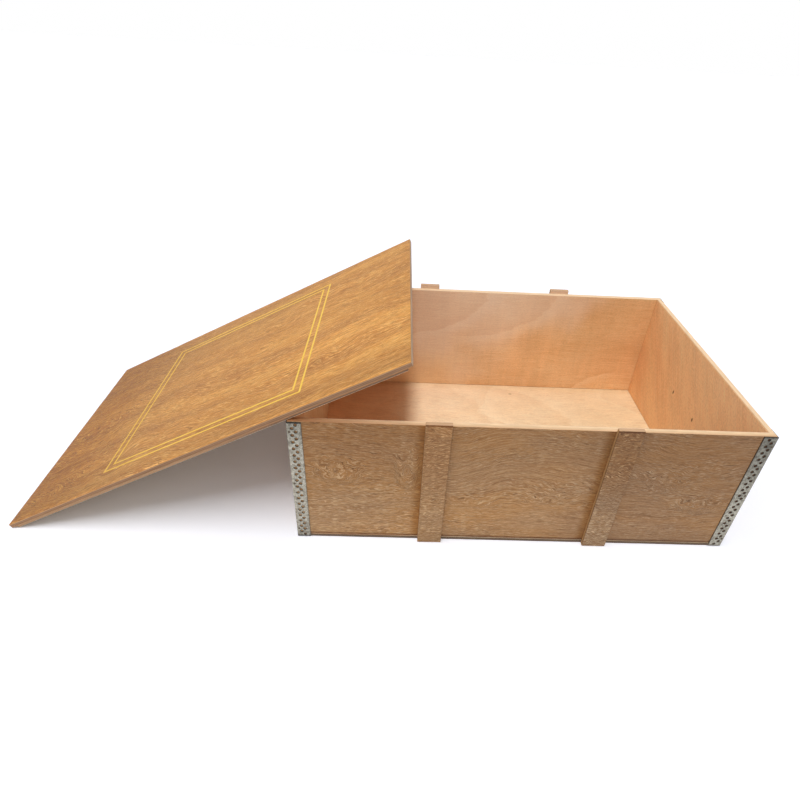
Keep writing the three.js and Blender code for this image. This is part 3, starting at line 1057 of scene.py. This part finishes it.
def printedFrame(name, reach):
    # one printed line round a rectangle, mitred, a hair proud of the lid and a little out of square
    line, base = border["line"] / 2, lid["thickness"] - border["sink"]
    top = base + border["rise"]
    work = bmesh.new()
    rings = []
    for inset, z in ((line, base), (line, top), (-line, top), (-line, base)):
        ring = []
        for signX, signY in ((-1, -1), (1, -1), (1, 1), (-1, 1)):
            x = border["centre"][0] + signX * (reach[0] + inset) + signY * border["skew"]
            y = border["centre"][1] + signY * (reach[1] + inset)
            ring.append(work.verts.new((x, y, z)))
        rings.append(ring)
    skin(work, rings + rings[:1])
    bmesh.ops.recalc_face_normals(work, faces=work.faces[:])
    longEdges = [e for e in work.edges if e.calc_length() > border["longSide"]]
    bmesh.ops.subdivide_edges(work, edges=longEdges, cuts=border["cuts"], use_grid_fill=True)
    return meshOf(work, name)


gold = goldPaint("gold_ink")
for name in ("outer", "inner"):
    addObject("lid_line_" + name, printedFrame("lid_line_" + name, border[name]), [gold],
              "lid", [], lean)
print("crate: lid")

studio = {
    "skyLeft": 0.62, "skyRight": 0.10, "floor": "e0e0e0", "seenFloor": 1.06, "seenTint": (1, 1.02, 1.09),
    "reach": 9.0, "drop": -0.0004, "lampDistance": 3,
    "key": 1.95, "keyTilts": [2, 9, 16, 23, 30], "keySoft": 8.0, "keySide": 3.5,
    "fill": 0.45, "fillAside": 0.2, "fillHeight": 30.0, "fillSoft": 70.0,
}


def seenPlain():
    # one where the camera sees the floor or the sky, straight, mirrored or through glass
    path = put("LightPath").outputs
    seen = sums("MAXIMUM", path["Is Camera Ray"], path["Is Glossy Ray"])
    return sums("MAXIMUM", seen, path["Is Transmission Ray"])


def buildFloor():
    mesh = bpy.data.meshes.new("studio_floor")
    reach, drop = studio["reach"], studio["drop"]
    mesh.from_pydata([(-reach, -reach, drop), (reach, -reach, drop), (reach, reach, drop),
                      (-reach, reach, drop)], [], [(0, 1, 2, 3)])
    material = newMaterial("studio_floor")
    bright = [studio["seenFloor"] * v for v in studio["seenTint"]] + [1]
    near = put("BsdfDiffuse", {"Color": bright}).outputs[0]
    plain = put("BsdfDiffuse", {"Color": paint(studio["floor"])}).outputs[0]
    both = put("MixShader", {0: seenPlain(), 1: plain, 2: near}).outputs[0]
    put("OutputMaterial", {"Surface": both})
    mesh.materials.append(material)
    floor = bpy.data.objects.new("studio_floor", mesh)
    scene.collection.objects.link(floor)


def buildSky():
    scene.world = startNodes(bpy.data.worlds.new("studio"))
    white = put("Background", {"Color": (1, 1, 1, 1), "Strength": 1.0}).outputs[0]
    aside = parts(put("TexCoord").outputs["Generated"])[0]
    level = between(aside, -1.0, 1.0, studio["skyLeft"], studio["skyRight"])
    sky = put("Background", {"Color": (1, 1, 1, 1), "Strength": level}).outputs[0]
    both = put("MixShader", {0: seenPlain(), 1: sky, 2: white}).outputs[0]
    put("OutputWorld", {"Surface": both})


def buildSun(name, direction, soft, power):
    # far lamp: direction is the way its light travels
    lamp = bpy.data.lights.new(name, "SUN")
    lamp.angle = math.radians(soft)
    lamp.energy = power
    holder = bpy.data.objects.new(name, lamp)
    holder.location = -Vector(direction) * studio["lampDistance"]
    holder.rotation_euler = Vector(direction).to_track_quat("-Z", "Y").to_euler()
    scene.collection.objects.link(holder)


view = {
    "sensor": 36, "lens": 25.4504, "shift": (-0.02016, 0.02789), "clip": 0.01,
    "place": (-0.17771, -0.76628, 0.62324), "turn": (53.37775, -2.83565, -0.70793),
}


def buildCamera():
    camera = bpy.data.cameras.new("photo_camera")
    camera.sensor_width = view["sensor"]
    camera.sensor_fit = "HORIZONTAL"
    camera.lens = view["lens"]
    camera.shift_x, camera.shift_y = view["shift"]
    camera.clip_start = view["clip"]
    holder = bpy.data.objects.new("photo_camera", camera)
    holder.location = view["place"]
    holder.rotation_euler = [math.radians(a) for a in view["turn"]]
    scene.collection.objects.link(holder)
    scene.camera = holder


buildFloor()
buildSky()
# one long soft box overhead, as a row of small suns from upright to well forward
for index, tilt in enumerate(studio["keyTilts"]):
    forward, side = math.tan(math.radians(tilt)), math.tan(math.radians(studio["keySide"]))
    buildSun("key_%d" % index, (side, forward, -1), studio["keySoft"],
             studio["key"] / len(studio["keyTilts"]))
low = math.radians(studio["fillHeight"])
buildSun("fill", (studio["fillAside"], math.cos(low), -math.sin(low)), studio["fillSoft"], studio["fill"])
buildCamera()
scene.view_settings.view_transform = "Standard"
print("crate: studio")
